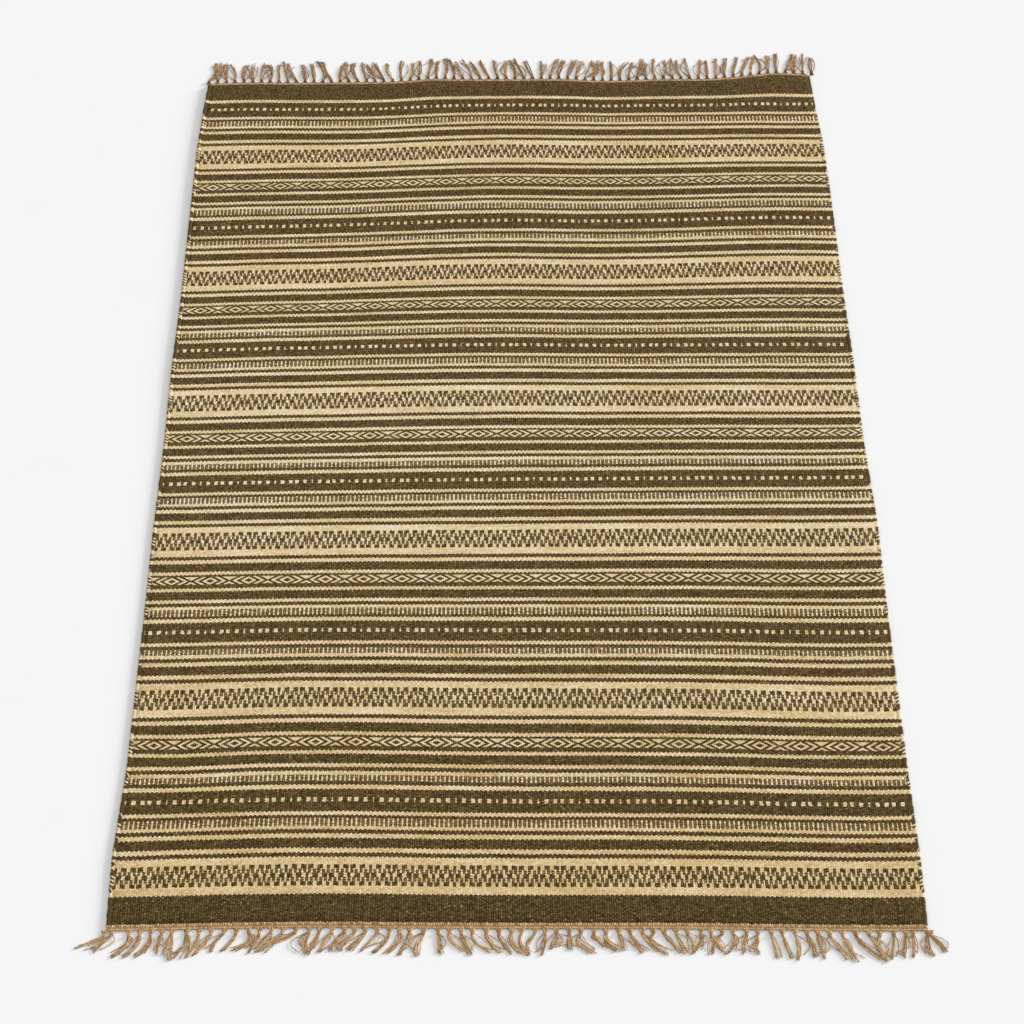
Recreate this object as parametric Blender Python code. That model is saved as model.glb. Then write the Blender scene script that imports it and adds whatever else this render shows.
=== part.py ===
# Flat-woven rug: a striped woven cloth with a twined edging strip and a knotted fringe at each end.
# Metres, +Z up. X runs across the rug, +Y towards its far end. It lies on the floor at z = 0.
import random

import bpy
import numpy as np

for old_thing in list(bpy.data.objects):
    bpy.data.objects.remove(old_thing, do_unlink=True)

# Driving sizes of the cloth
half_width = 0.853
half_length = 1.197
cloth_height = 0.0046
edge_height = 0.0036
selvedge_bulge = 0.0014
ripple_height = 0.0005
cells_along = 24

# Driving sizes of the edging strips and of the fringe
parting = 0.0004
strip_width = 0.009
strip_crown = 0.0042
strip_lip = 0.0034
tassels_each_end = 69
tassels_each_cell = 4
end_margin = 0.0048
root_width = 0.0078
knot_width = 0.0102
knot_length = 0.0075
knot_split = 0.0014
knot_height = 0.0036
lock_mid_width = 0.0041
lock_tip_width = 0.0036
lock_room_share = 0.3
lock_mid_height = 0.0028
lock_tip_height = 0.0016
lock_top_share = 0.6
lock_bow = 0.0005
reach_spread = 0.005
closest_tips = 0.5

# Broad bends of the weft lines.
# Columns: shift along the rug, then middle and reach across the rug, then middle and reach along it
bends = (
    (-0.0170, -0.913, 0.377, 0.519, 0.677),
    (-0.0179, 0.787, 0.358, -0.188, 1.200),
    (0.0085, -0.463, 0.331, -0.878, 0.531),
    (0.0250, 0.774, 0.155, 1.300, 0.200),
    (0.0064, -0.038, 0.202, 0.807, 0.780),
    (0.0211, 0.737, 0.321, 0.588, 0.427),
    (0.0064, -0.672, 0.536, 0.267, 0.200),
    (0.0183, 0.826, 0.456, -0.179, 0.350),
)

# How far each selvedge stands out from the straight line at stations along the rug
selvedge_columns = ("along", "left", "right")
selvedge_waves = (
    (1.20, -0.004, -0.011),
    (1.10, 0.002, -0.007),
    (0.95, 0.006, 0.002),
    (0.75, 0.004, 0.003),
    (0.45, 0.001, 0.001),
    (0.20, 0.003, 0.003),
    (0.00, -0.001, 0.001),
    (-0.25, 0.000, 0.007),
    (-0.50, -0.003, 0.002),
    (-0.85, -0.005, -0.001),
    (-1.05, 0.003, 0.000),
    (-1.20, -0.002, -0.004),
)

# How the fringe lies at stations across the rug: sideways lean of the tips and reach from the strip
lie_columns = ("across", "lean", "reach")
near_lie = (
    (-0.853, -0.060, 0.036),
    (-0.825, -0.044, 0.046),
    (-0.790, -0.030, 0.056),
    (-0.730, -0.006, 0.060),
    (-0.640, -0.028, 0.056),
    (-0.540, -0.024, 0.048),
    (-0.450, -0.034, 0.046),
    (-0.400, -0.020, 0.056),
    (-0.264, -0.030, 0.051),
    (-0.150, 0.018, 0.052),
    (-0.080, 0.032, 0.051),
    (-0.010, 0.018, 0.053),
    (0.040, -0.007, 0.055),
    (0.110, 0.008, 0.047),
    (0.250, 0.028, 0.050),
    (0.340, 0.012, 0.053),
    (0.400, -0.006, 0.050),
    (0.480, -0.007, 0.054),
    (0.600, 0.010, 0.060),
    (0.700, 0.036, 0.063),
    (0.790, -0.009, 0.058),
    (0.853, 0.028, 0.047),
)
far_lie = (
    (-0.853, 0.010, 0.073),
    (-0.780, 0.004, 0.072),
    (-0.740, -0.014, 0.066),
    (-0.690, 0.000, 0.066),
    (-0.600, -0.014, 0.070),
    (-0.520, -0.022, 0.062),
    (-0.450, -0.022, 0.066),
    (-0.420, 0.006, 0.064),
    (-0.330, -0.016, 0.074),
    (-0.260, -0.026, 0.064),
    (-0.200, 0.002, 0.068),
    (-0.130, 0.004, 0.076),
    (-0.060, -0.020, 0.070),
    (0.020, -0.022, 0.068),
    (0.060, -0.004, 0.068),
    (0.130, 0.016, 0.066),
    (0.240, 0.019, 0.066),
    (0.300, 0.002, 0.072),
    (0.350, 0.018, 0.070),
    (0.420, 0.000, 0.070),
    (0.480, -0.010, 0.066),
    (0.580, 0.006, 0.074),
    (0.660, 0.020, 0.070),
    (0.710, 0.000, 0.070),
    (0.780, 0.018, 0.074),
    (0.853, 0.004, 0.076),
)


def column(table, names, name):
    return np.array([row[names.index(name)] for row in table])


def weft_bend(x, y):
    # Sum of broad bell-shaped humps, each a shift along the rug
    total = np.zeros(np.broadcast(x, y).shape)
    for shift, across, across_reach, along, along_reach in bends:
        away = ((x - across) / across_reach) ** 2 + ((y - along) / along_reach) ** 2
        total = total + shift * np.exp(-away)
    return total


def selvedge_offset(y, side):
    stations = column(selvedge_waves, selvedge_columns, "along")[::-1]
    waves = column(selvedge_waves, selvedge_columns, side)[::-1]
    return np.interp(y, stations, waves)


def cloth_plan(u, v):
    # u and v run from -1 to 1: straight grid, widened by the selvedge waves, then bent along the rug
    y = half_length * v
    widening = np.where(u > 0, selvedge_offset(y, "right"), selvedge_offset(y, "left"))
    x = u * (half_width + np.abs(u) ** 3 * widening)
    return x, y + weft_bend(x, y)


def cloth_top(u, v):
    # Cloth height with slight crossing ripples, a little lower along the outer edge
    rim = np.maximum(np.abs(u), np.abs(v)) > 0.999
    ripples = np.sin(5.1 * u + 2.3 * v) * np.cos(8.7 * v - 1.9 * u) + 0.6 * np.sin(13.0 * v + 1.1)
    return np.where(rim, edge_height, cloth_height + ripple_height * ripples)


def root_places():
    # Middles and edges of the tassel roots in u, evenly spaced between the two end margins
    outermost = 1 - end_margin / half_width
    middles = np.linspace(-outermost, outermost, tassels_each_end)
    half_root = root_width / 2 / half_width
    edges = np.stack([middles - half_root, middles + half_root], axis=1).ravel()
    return middles, edges


def cloth_columns():
    # Grid columns of the cloth in u, each at the edge of a root so that cloth and strip bend together
    step = 2 * tassels_each_cell
    edges = root_places()[1]
    return np.concatenate([[-1.0], edges[step:-step:step], [1.0]])


def end_line(x, v_end):
    # The cloth's end as the straight pieces between its grid columns
    u = cloth_columns()
    columns_x, columns_y = cloth_plan(u, np.full(u.shape, float(v_end)))
    return np.interp(x, columns_x, columns_y)


def make_object(name, vertices, faces, material, smooth):
    mesh = bpy.data.meshes.new(name)
    mesh.from_pydata([tuple(map(float, vertex)) for vertex in vertices], [], faces)
    mesh.materials.append(material)
    for polygon in mesh.polygons:
        polygon.use_smooth = smooth
    mesh.validate()
    mesh.update()
    thing = bpy.data.objects.new(name, mesh)
    bpy.context.scene.collection.objects.link(thing)
    return thing


def make_material(name, colour, roughness):
    material = bpy.data.materials.new(name)
    material.use_nodes = True
    shader = material.node_tree.nodes["Principled BSDF"]
    shader.inputs["Base Color"].default_value = (*colour, 1.0)
    shader.inputs["Roughness"].default_value = roughness
    shader.inputs["Metallic"].default_value = 0.0
    material.diffuse_color = (*colour, 1.0)
    return material


def make_cloth(material):
    # Two grids, the level underside and the rippled top, joined by a wall that bulges at half height
    rows = cells_along + 1
    columns = len(cloth_columns())
    v, u = np.meshgrid(np.linspace(-1, 1, rows), cloth_columns(), indexing="ij")
    x, y = cloth_plan(u, v)
    top = np.stack([x, y, cloth_top(u, v)], axis=-1).reshape(-1, 3)
    bottom = np.stack([x, y, np.zeros(x.shape)], axis=-1).reshape(-1, 3)
    count = rows * columns
    south = [i for i in range(columns - 1)]
    east = [(r + 1) * columns - 1 for r in range(rows - 1)]
    north = [count - 1 - i for i in range(columns - 1)]
    west = [(rows - 1 - r) * columns for r in range(rows - 1)]
    rim = south + east + north + west
    wall = top[rim].copy()
    wall[:, 2] = edge_height / 2
    on_side = np.isin(rim, east + west + [count - 1, (rows - 1) * columns, 0, columns - 1])
    wall[:, 0] += np.where(on_side, np.sign(wall[:, 0]) * selvedge_bulge, 0.0)
    vertices = np.concatenate([bottom, top, wall])
    faces = []
    for r in range(cells_along):
        for c in range(columns - 1):
            a = r * columns + c
            b = a + columns
            faces.append((a, b, b + 1, a + 1))
            faces.append((count + a, count + a + 1, count + b + 1, count + b))
    for k, here in enumerate(rim):
        following = rim[(k + 1) % len(rim)]
        low = 2 * count + k
        high = 2 * count + (k + 1) % len(rim)
        faces.append((here, following, high, low))
        faces.append((low, high, count + following, count + here))
    return make_object("woven_cloth", vertices, faces, material, False)


def tip_positions(roots, lie):
    # Leaning tips, kept in order so that no lock crosses its neighbour
    stations = column(lie, lie_columns, "across")
    lean = np.interp(roots, stations, column(lie, lie_columns, "lean"))
    tips = roots + lean
    least = closest_tips * (roots[1] - roots[0])
    for k in range(1, len(tips)):
        tips[k] = max(tips[k], tips[k - 1] + least)
    return tips


def make_fringed_strip(name, v_end, lie, material, seed):
    # One body: the strip, then a short knot at each root that splits into two locks lying on the floor
    picker = random.Random(seed)
    out = float(v_end)
    middles_u, edges_u = root_places()
    columns_u = np.concatenate([[-1.0], edges_u, [1.0]])
    roots = cloth_plan(middles_u, np.full(middles_u.shape, out))[0]
    columns_x = cloth_plan(columns_u, np.full(columns_u.shape, out))[0]
    line = end_line(columns_x, v_end)
    inner = line + out * parting
    middle = line + out * (parting + strip_width / 2)
    outer = line + out * (parting + strip_width)
    zero = np.zeros(columns_x.shape)
    profile = (
        (inner, zero),
        (inner, zero + strip_lip),
        (middle, zero + strip_crown),
        (outer, zero + strip_lip),
        (outer, zero),
    )
    vertices = []
    faces = []
    for y, z in profile:
        vertices.extend(zip(columns_x, y, z))
    total = len(columns_x)
    levels = len(profile)

    def add(corners):
        faces.append(tuple(corners) if out > 0 else tuple(reversed(corners)))

    for k in range(total - 1):
        is_root = k % 2 == 1
        for level in range(levels):
            after = (level + 1) % levels
            if is_root and level == levels - 2:
                continue
            a = level * total + k
            b = after * total + k
            add((a, a + 1, b + 1, b))
    add([level * total for level in range(levels)])
    add([level * total + total - 1 for level in reversed(range(levels))])

    tips = tip_positions(roots, lie)
    stations = column(lie, lie_columns, "across")
    reaches = np.interp(roots, stations, column(lie, lie_columns, "reach"))
    room = np.diff(tips)
    room_left = np.concatenate([[room[0]], room])
    room_right = np.concatenate([room, [room[-1]]])
    room = np.minimum(room_left, room_right)
    spread = 0.25 * room
    tip_widths = np.minimum(lock_tip_width, lock_room_share * room)

    def add_ring(centre_x, y, width, height, top_share):
        first = len(vertices)
        half = width / 2
        vertices.append((centre_x - half, y, 0.0))
        vertices.append((centre_x + half, y, 0.0))
        vertices.append((centre_x + half * top_share, y, height))
        vertices.append((centre_x - half * top_share, y, height))
        return (first, first + 1, first + 2, first + 3)

    def join_rings(a, b):
        # Rings run bottom left, bottom right, top right, top left
        for side in range(4):
            after = (side + 1) % 4
            add((a[after], a[side], b[side], b[after]))

    for i, root in enumerate(roots):
        k = 2 * i + 1
        low_left, low_right = 4 * total + k, 4 * total + k + 1
        top_left, top_right = 3 * total + k, 3 * total + k + 1
        base = 0.5 * (outer[k] + outer[k + 1])
        knot_y = base + out * knot_length
        centre = root + 0.12 * (tips[i] - root)
        offsets = (-knot_width / 2, -knot_split / 2, knot_split / 2, knot_width / 2)
        low = []
        high = []
        for offset in offsets:
            low.append(len(vertices))
            vertices.append((centre + offset, knot_y, 0.0))
            high.append(len(vertices))
            vertices.append((centre + offset, knot_y, knot_height))
        add((top_left, top_right, high[2], high[1]))
        add((top_left, high[1], high[0]))
        add((top_right, high[3], high[2]))
        add((low_right, low_left, low[1], low[2]))
        add((low_left, low[0], low[1]))
        add((low_right, low[2], low[3]))
        add((low_left, top_left, high[0], low[0]))
        add((top_right, low_right, low[3], high[3]))
        add((high[1], high[2], low[2], low[1]))
        for j, way in ((0, -1), (2, 1)):
            ring = (low[j], low[j + 1], high[j + 1], high[j])
            start_x = centre + 0.5 * (offsets[j] + offsets[j + 1])
            tip_x = tips[i] + way * spread[i]
            reach = reaches[i] + picker.uniform(-reach_spread, reach_spread)
            middle_x = start_x + 0.45 * (tip_x - start_x) + picker.uniform(-lock_bow, lock_bow)
            middle_y = knot_y + 0.52 * (base + out * reach - knot_y)
            mid_ring = add_ring(middle_x, middle_y, lock_mid_width, lock_mid_height, lock_top_share)
            tip_y = base + out * reach
            tip_ring = add_ring(tip_x, tip_y, tip_widths[i], lock_tip_height, lock_top_share)
            join_rings(ring, mid_ring)
            join_rings(mid_ring, tip_ring)
            add((tip_ring[3], tip_ring[2], tip_ring[1], tip_ring[0]))
    return make_object(name, vertices, faces, material, False)


cloth_material = make_material("striped_wool", (0.354, 0.267, 0.145), 0.92)
near_material = make_material("tan_cord_near", (0.423, 0.262, 0.118), 0.9)
far_material = make_material("tan_cord_far", (0.352, 0.216, 0.107), 0.9)
make_cloth(cloth_material)
make_fringed_strip("near_edging_fringe", -1, near_lie, near_material, 11)
make_fringed_strip("far_edging_fringe", 1, far_lie, far_material, 23)
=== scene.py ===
# Flat-woven striped rug with twined ends and a knotted fringe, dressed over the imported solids.
# Metres with +Z up and +Y towards the far end. Names that end in Mm are millimetres.
from math import pi, radians

import bpy
import numpy as np
from mathutils import Matrix


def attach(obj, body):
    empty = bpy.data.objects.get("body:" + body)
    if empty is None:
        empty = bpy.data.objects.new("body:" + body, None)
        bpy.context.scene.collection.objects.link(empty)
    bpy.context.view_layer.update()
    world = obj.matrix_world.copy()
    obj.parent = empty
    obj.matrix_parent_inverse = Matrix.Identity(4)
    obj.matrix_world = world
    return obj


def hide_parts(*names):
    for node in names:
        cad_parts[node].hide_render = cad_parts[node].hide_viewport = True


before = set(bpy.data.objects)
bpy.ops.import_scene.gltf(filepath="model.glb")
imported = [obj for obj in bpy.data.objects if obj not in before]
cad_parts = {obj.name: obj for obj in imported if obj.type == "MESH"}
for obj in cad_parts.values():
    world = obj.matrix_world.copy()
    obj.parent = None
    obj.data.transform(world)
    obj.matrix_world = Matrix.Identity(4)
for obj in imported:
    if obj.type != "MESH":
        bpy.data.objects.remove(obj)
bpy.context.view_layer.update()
print("rug: frame loaded, nodes", sorted(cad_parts))


# Shared helpers

mathNode, rampNode, noiseNode = "ShaderNodeMath", "ShaderNodeValToRGB", "ShaderNodeTexNoise"


def linearColour(hexColour):
    # Each sRGB channel c of #rrggbb becomes ((c + 0.055) / 1.055) ^ 2.4, or c / 12.92 near black
    channels = np.array([int(hexColour[k:k + 2], 16) for k in (1, 3, 5)]) / 255
    linear = np.where(channels > 0.04045, ((channels + 0.055) / 1.055) ** 2.4, channels / 12.92)
    return (*map(float, linear), 1.0)


def addNode(tree, kind, *inputs, named=None, stops=None, hold=False, **settings):
    # Adds one node, gives it its settings and colour stops, and sets or links its inputs in order or by name
    added = tree.nodes.new(kind)
    for name, value in settings.items():
        setattr(added, name, value)
    if stops:
        added.color_ramp.interpolation = "CONSTANT" if hold else "LINEAR"
        marks = added.color_ramp.elements
        while len(marks) < len(stops):
            marks.new(1.0)
        for mark, (place, colour) in zip(marks, stops):
            mark.position = place
            mark.color = colour
    for place, value in [*enumerate(inputs), *(named or {}).items()]:
        if isinstance(value, bpy.types.Node):
            value = value.outputs[0]
        if isinstance(value, bpy.types.NodeSocket):
            tree.links.new(value, added.inputs[place])
        elif value is not None:
            added.inputs[place].default_value = value
    return added


def greyStops(pairs):
    # Colour stops that carry plain numbers, as greys
    return [(place, (level, level, level, 1)) for place, level in pairs]


def colourStops(places, hexColours):
    return [(place, linearColour(colour)) for place, colour in zip(places, hexColours)]


def newMaterial(name, roughness, sheen):
    # A matte yarn surface: the shader's own sockets hold what is the same all over
    material = bpy.data.materials.new(name)
    material.use_nodes = True
    tree = material.node_tree
    shader = tree.nodes["Principled BSDF"]
    shader.inputs["Roughness"].default_value = roughness
    shader.inputs["Specular IOR Level"].default_value = 0.1
    shader.inputs["Sheen Weight"].default_value = sheen
    shader.inputs["Sheen Roughness"].default_value = 0.6
    return material, tree, shader


def linkSurface(tree, shader, colour, height, bumpMm):
    # Colour of the surface, and a bump that raises its height of 1 by the given millimetres
    bump = addNode(tree, "ShaderNodeBump",
                   named={"Height": height, "Strength": 0.5, "Distance": bumpMm / 1000})
    tree.links.new(colour.outputs[0], shader.inputs["Base Color"])
    tree.links.new(bump.outputs[0], shader.inputs["Normal"])


def stretchedNoise(tree, x, y, steps, scale, detail):
    # Noise at (x times its step, y times its step)
    scaled = [addNode(tree, mathNode, axis, step, operation="MULTIPLY") for axis, step in zip((x, y), steps)]
    place = addNode(tree, "ShaderNodeCombineXYZ", *scaled)
    return addNode(tree, noiseNode, place, named={"Scale": scale, "Detail": detail})


def swing(tree, value, amount):
    # A value from 0 to 1 becomes amount (value - 1/2)
    return addNode(tree, mathNode, value, amount, -0.5 * amount, operation="MULTIPLY_ADD")


def makePiece(name, points, faceSets, maps, material, node):
    # faceSets holds one array of corner numbers for each count of corners, maps one place per corner
    mesh = bpy.data.meshes.new(name)
    corners = np.concatenate([faces.ravel() for faces in faceSets])
    totals = np.concatenate([np.full(len(faces), faces.shape[1]) for faces in faceSets])
    mesh.vertices.add(len(points))
    mesh.vertices.foreach_set("co", np.ascontiguousarray(points, dtype=np.float32).ravel())
    mesh.loops.add(len(corners))
    mesh.loops.foreach_set("vertex_index", corners.astype(np.int32))
    mesh.polygons.add(len(totals))
    mesh.polygons.foreach_set("loop_start", (np.cumsum(totals) - totals).astype(np.int32))
    mesh.polygons.foreach_set("loop_total", totals.astype(np.int32))
    mesh.update(calc_edges=True)
    mesh.polygons.foreach_set("use_smooth", np.ones(len(totals), dtype=bool))
    for mapName, places in maps.items():
        layer = mesh.uv_layers.new(name=mapName)
        layer.data.foreach_set("uv", np.ascontiguousarray(places, dtype=np.float32).ravel())
    mesh.materials.append(material)
    mesh.validate()
    piece = bpy.data.objects.new(name, mesh)
    bpy.context.scene.collection.objects.link(piece)
    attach(piece, "root")
    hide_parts(node)
    print("rug:", name, "with", len(totals), "faces")
    return piece


# Each yarn's lengths start this far after the last yarn's in the map called yarn
yarnApartMm = 400.0


def carryTubes(paths, radii, sides, flatten=1.0):
    # Circles of the given radii carried along each path: centre + radius (side cos a + up sin a).
    # Side is the path's level normal, and up is square to both. Both ends are closed by a face.
    # The map gives each corner its share of the way round and its millimetres along the yarn.
    count, steps = paths.shape[:2]
    along = np.gradient(paths, axis=1)
    along /= np.linalg.norm(along, axis=2, keepdims=True)
    side = np.cross(along, [0.0, 0.0, 1.0])
    side /= np.maximum(np.linalg.norm(side, axis=2, keepdims=True), 1e-9)
    up = np.cross(side, along) * flatten
    angles = 2 * pi * np.arange(sides) / sides
    ring = side[:, :, None] * np.cos(angles)[:, None] + up[:, :, None] * np.sin(angles)[:, None]
    points = paths[:, :, None] + radii[:, :, None, None] * ring
    index = np.arange(count * steps * sides).reshape(count, steps, sides)
    turned = np.roll(index, -1, axis=2)
    walls = np.stack([index[:, :-1], turned[:, :-1], turned[:, 1:], index[:, 1:]], axis=-1)
    caps = np.concatenate([index[:, 0, ::-1], index[:, -1]])
    lengths = np.cumsum(np.linalg.norm(np.diff(paths, axis=1, prepend=paths[:, :1]), axis=2), axis=1)
    around = np.broadcast_to(np.arange(sides) / sides, index.shape)
    number = np.broadcast_to(np.arange(count)[:, None, None], index.shape)
    down = np.broadcast_to(lengths[:, :, None] * 1000, index.shape) + yarnApartMm * number
    start = around[:, :-1]
    wallMap = np.stack([
        np.stack([start, start + 1 / sides, start + 1 / sides, start], axis=-1),
        np.stack([down[:, :-1], down[:, :-1], down[:, 1:], down[:, 1:]], axis=-1),
    ], axis=-1)
    capMap = np.stack([around, down], axis=-1).reshape(-1, 2)[caps]
    faces = [walls.reshape(-1, 4), caps]
    return points.reshape(-1, 3), faces, [wallMap.reshape(-1, 2), capMap.reshape(-1, 2)]


def joinTubes(parts):
    # Puts several sets of tubes into one set of points, faces and map places
    points, faces, places, shift = [], [], [], 0
    for partPoints, partFaces, partPlaces in parts:
        points.append(partPoints)
        faces += [group + shift for group in partFaces]
        places += partPlaces
        shift += len(partPoints)
    return np.concatenate(points), faces, np.concatenate(places)


# The lie of the cloth, the same as in the part's source

clothLie = {"halfWidth": 0.853, "halfLength": 1.197, "farEndReach": 0.080}

# Broad bends of the weft lines: shift along the rug, middle and reach across it, middle and reach along it
weftBends = np.array([
    (-0.0170, -0.913, 0.377, 0.519, 0.677), (-0.0179, 0.787, 0.358, -0.188, 1.200),
    (0.0085, -0.463, 0.331, -0.878, 0.531), (0.0250, 0.774, 0.155, 1.300, 0.200),
    (0.0064, -0.038, 0.202, 0.807, 0.780), (0.0211, 0.737, 0.321, 0.588, 0.427),
    (0.0064, -0.672, 0.536, 0.267, 0.200), (0.0183, 0.826, 0.456, -0.179, 0.350),
])

# How far each selvedge stands out at stations along the rug: along, left, right
selvedgeWaves = np.array([
    (-1.20, -0.002, -0.004), (-1.05, 0.003, 0.000), (-0.85, -0.005, -0.001), (-0.50, -0.003, 0.002),
    (-0.25, 0.000, 0.007), (0.00, -0.001, 0.001), (0.20, 0.003, 0.003), (0.45, 0.001, 0.001),
    (0.75, 0.004, 0.003), (0.95, 0.006, 0.002), (1.10, 0.002, -0.007), (1.20, -0.004, -0.011),
])

# Small waves of the far end, which are the scene's own: place across and how far it draws in
farEndWaves = np.array([
    (-1.00, 0.0030), (-0.92, 0.0000), (-0.82, 0.0005), (-0.72, 0.0040), (-0.60, 0.0045), (-0.38, 0.0060),
    (-0.26, -0.0035), (-0.16, 0.0010), (-0.03, 0.0030), (0.12, 0.0005), (0.20, 0.0010), (0.28, 0.0060),
    (0.36, 0.0055), (0.49, 0.0000), (0.66, 0.0025), (0.76, 0.0010), (0.87, -0.0035), (1.00, 0.0005),
])


def weftBend(x, y):
    # Sum of shift exp(-((x - across) / reach)^2 - ((y - along) / reach)^2) over the bends
    shift, across, acrossReach, along, alongReach = weftBends.T
    away = ((x[..., None] - across) / acrossReach) ** 2 + ((y[..., None] - along) / alongReach) ** 2
    return (shift * np.exp(-away)).sum(axis=-1)


def clothPlan(u, v):
    # u and v from -1 to 1: y = halfLength v, x = u (halfWidth + |u|^3 wave(y)), then y + bend(x, y),
    # drawn in at the far end by its waves, which die away as exp(-(distance / far end reach)^2)
    y = clothLie["halfLength"] * v
    left, right = (np.interp(y, selvedgeWaves[:, 0], selvedgeWaves[:, k]) for k in (1, 2))
    x = u * (clothLie["halfWidth"] + np.abs(u) ** 3 * np.where(u > 0, right, left))
    fromFar = (clothLie["halfLength"] - y) / clothLie["farEndReach"]
    drawnIn = np.interp(u, *farEndWaves.T) * np.exp(-fromFar ** 2)
    return x, y + weftBend(x, y) - drawnIn


# Where the woven pattern stands on the cloth: millimetres from the far end at every half repeat
repeatMm = 405.6
patternStationsMm = np.array([
    -179.9, 31.3, 243.4, 448.9, 659.0, 860.3, 1057.8, 1256.9, 1455.1, 1658.8, 1863.9, 2068.6, 2271.9, 2467.7,
])
# Bends of the woven lines that the cloth's own outline doesn't share: shift in mm, middle and reach across
# as a share of the half width, middle and reach along in mm from the far end
patternBends = np.array([
    (3.5, -0.55, 0.18, 600, 600), (5.5, -0.50, 0.22, 150, 130), (7.0, 0.92, 0.13, 60, 170),
    (3.0, -0.85, 0.12, 2020, 100), (-1.9, 0.0, 9.0, 360, 90), (1.3, 0.0, 9.0, 540, 70),
    (1.2, 0.0, 9.0, 750, 80),
])
warpPitchMm = 4.95
warpStartMm = 2.35
# Slow drift of the warps across the rug and along it: station and drift
warpDriftAcrossMm = np.array([
    (-853, 1.0), (-690, 1.5), (-450, 2.2), (-200, 1.2), (50, 0), (300, -2), (550, -3.6), (700, -1.6),
    (853, -1.0),
])
warpDriftAlongMm = np.array([
    (0, -2.4), (244, -2.4), (660, -0.4), (1059, 0), (1457, 2.4), (1866, 1.8), (2272, -0.2), (2394, -0.2),
])


def weavePlace(u, v):
    # Warp number = (853 u - start - drifts) / pitch, and the pattern's own millimetres by its stations, with
    # shift exp(-((u - across) / reach)^2 - ((from far - along) / reach)^2) of each bend taken off
    acrossMm = 1000 * clothLie["halfWidth"] * u
    fromFarMm = 1000 * clothLie["halfLength"] * (1 - v)
    drift = np.interp(acrossMm, *warpDriftAcrossMm.T) + np.interp(fromFarMm, *warpDriftAlongMm.T)
    shift, across, acrossReach, along, alongReach = patternBends.T
    away = ((u[..., None] - across) / acrossReach) ** 2 + ((fromFarMm[..., None] - along) / alongReach) ** 2
    straightMm = fromFarMm - (shift * np.exp(-away)).sum(axis=-1)
    halves = np.arange(len(patternStationsMm)) / 2
    pattern = np.interp(straightMm, patternStationsMm, repeatMm * halves)
    return (acrossMm - warpStartMm - drift) / warpPitchMm, pattern


# Colours and stripes of the weave

weaveLook = {
    "creams": ("#c6a56e", "#dfc694", "#f4e3c5"),
    "darks": ("#33270f", "#524224", "#6f5d3c"),
    "fleck": "#8a6d40",
    "flecks": 0.009,  # share of the dark floats
    "floatLengthMm": 3.1,
    "bumpMm": 0.7,
    # How much the tone changes by float, in streaks and in patches, and how much the colour does
    "speckle": 0.58,
    "streak": 0.75,
    "patch": 0.95,
    "tint": 0.085,
    "darkSpeckle": 1.3,  # share of the speckle and of the streaks that dark yarn shows
    "darkStreak": 0.45,
    # Steps of each noise a warp across, and a millimetre or a row along
    "waverSteps": (0.045, 0.012),
    "streakSteps": (0.25, 1.0),
    "streakScale": 0.35,
    "oddRowsApart": 170.0,
    "patchSteps": (0.02, 0.035),
    # Shade at a float's middle, and what it loses by the square of the way across and along the float
    "creamShade": (1.135, 0.35, 2.0),
    "darkShade": (1.53, 3.8, 2.5),
    # The stripes' edges, and the yarns that show past the edges of a figure
    "edgeStepMm": 1.35,
    "crossYarnMm": 4.2,
    "crossYarnWidth": 0.15,
    "crossYarnShare": 0.27,
    "darkSpread": 0.17,
    "unevenSpread": 0.34,
    "creamInsetMm": 0.35,
    "handWaverMm": 3.0,
    # Tone of cream along the rug, and the part of it that dark yarn follows
    "creamAlong": ((0.0, 0.48), (0.25, 0.52), (0.45, 0.63), (0.65, 0.52), (0.85, 0.33)),
    "darkAlong": (0.5, 0.29),
    "farBandEndMm": 229.2,
    "nearBandStartMm": 2498.8,
}

# One repeat of the stripes, each with its start in mm and what it is woven from. Red counts the stepped
# figure of the motif, green counts every second warp, and blue is the ground, cream or dark.
steppedOnCream, steppedOnDark = (1, 0, 1, 1), (1, 0, 0, 1)
barsOnCream, barsOnDark = (0, 1, 1, 1), (0, 1, 0, 1)
cream, dark = (0, 0, 1, 1), (0, 0, 0, 1)
stripeChart = [
    (0.0, steppedOnCream), (9.3, barsOnDark), (18.6, steppedOnDark), (27.9, barsOnCream),
    (37.2, steppedOnCream), (46.5, cream), (65.2, dark), (74.1, cream), (83.0, dark), (104.3, cream),
    (113.6, dark), (148.9, cream), (157.8, dark), (179.3, cream), (188.2, dark), (197.3, cream),
    (205.5, barsOnDark), (221.6, dark), (229.2, cream), (238.3, dark), (257.1, steppedOnDark),
    (267.4, dark), (288.2, cream), (297.4, dark), (305.2, barsOnDark), (321.2, cream), (329.4, dark),
    (338.7, cream), (348.0, dark), (369.8, cream), (379.1, dark), (388.1, cream),
]
lozengeStartMm, motifStartsMm = 113.6, (0.0, 205.5, 305.2)
# How much the stripes' edges sway, by place in a repeat: half as much in the zigzag and not in the dots
swayRows = [(0.0, 0.5), (48.5, 1.0), (254.5, 0.0), (270.0, 1.0), (403.0, 0.5)]
# Rows of stepped figures that stand half a repeat to the side, by the pattern's own millimetres
sidewaysRows = [(0, 1), (560, 0), (740, 1), (1780, 0), (2150, 1)]
wholePatternMm = 3000.0
halfFigureWarps = 9.0
lozengeLines = {"middleMm": 130.5, "offsetMm": -0.9, "halfHeightMm": 10.1, "slant": 1.85, "firstMm": 14.0,
                "halfApartMm": 9.5, "halfWidthMm": 4.2}


def betweenEndBands(tree, placeMm):
    # 1 from the end of the plain far band to the start of the plain near one, and 0 on both
    pastFarBand = addNode(tree, mathNode, placeMm, weaveLook["farBandEndMm"], operation="GREATER_THAN")
    beforeNearBand = addNode(tree, mathNode, placeMm, weaveLook["nearBandStartMm"], operation="LESS_THAN")
    return addNode(tree, mathNode, pastFarBand, beforeNearBand, operation="MULTIPLY")


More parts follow.
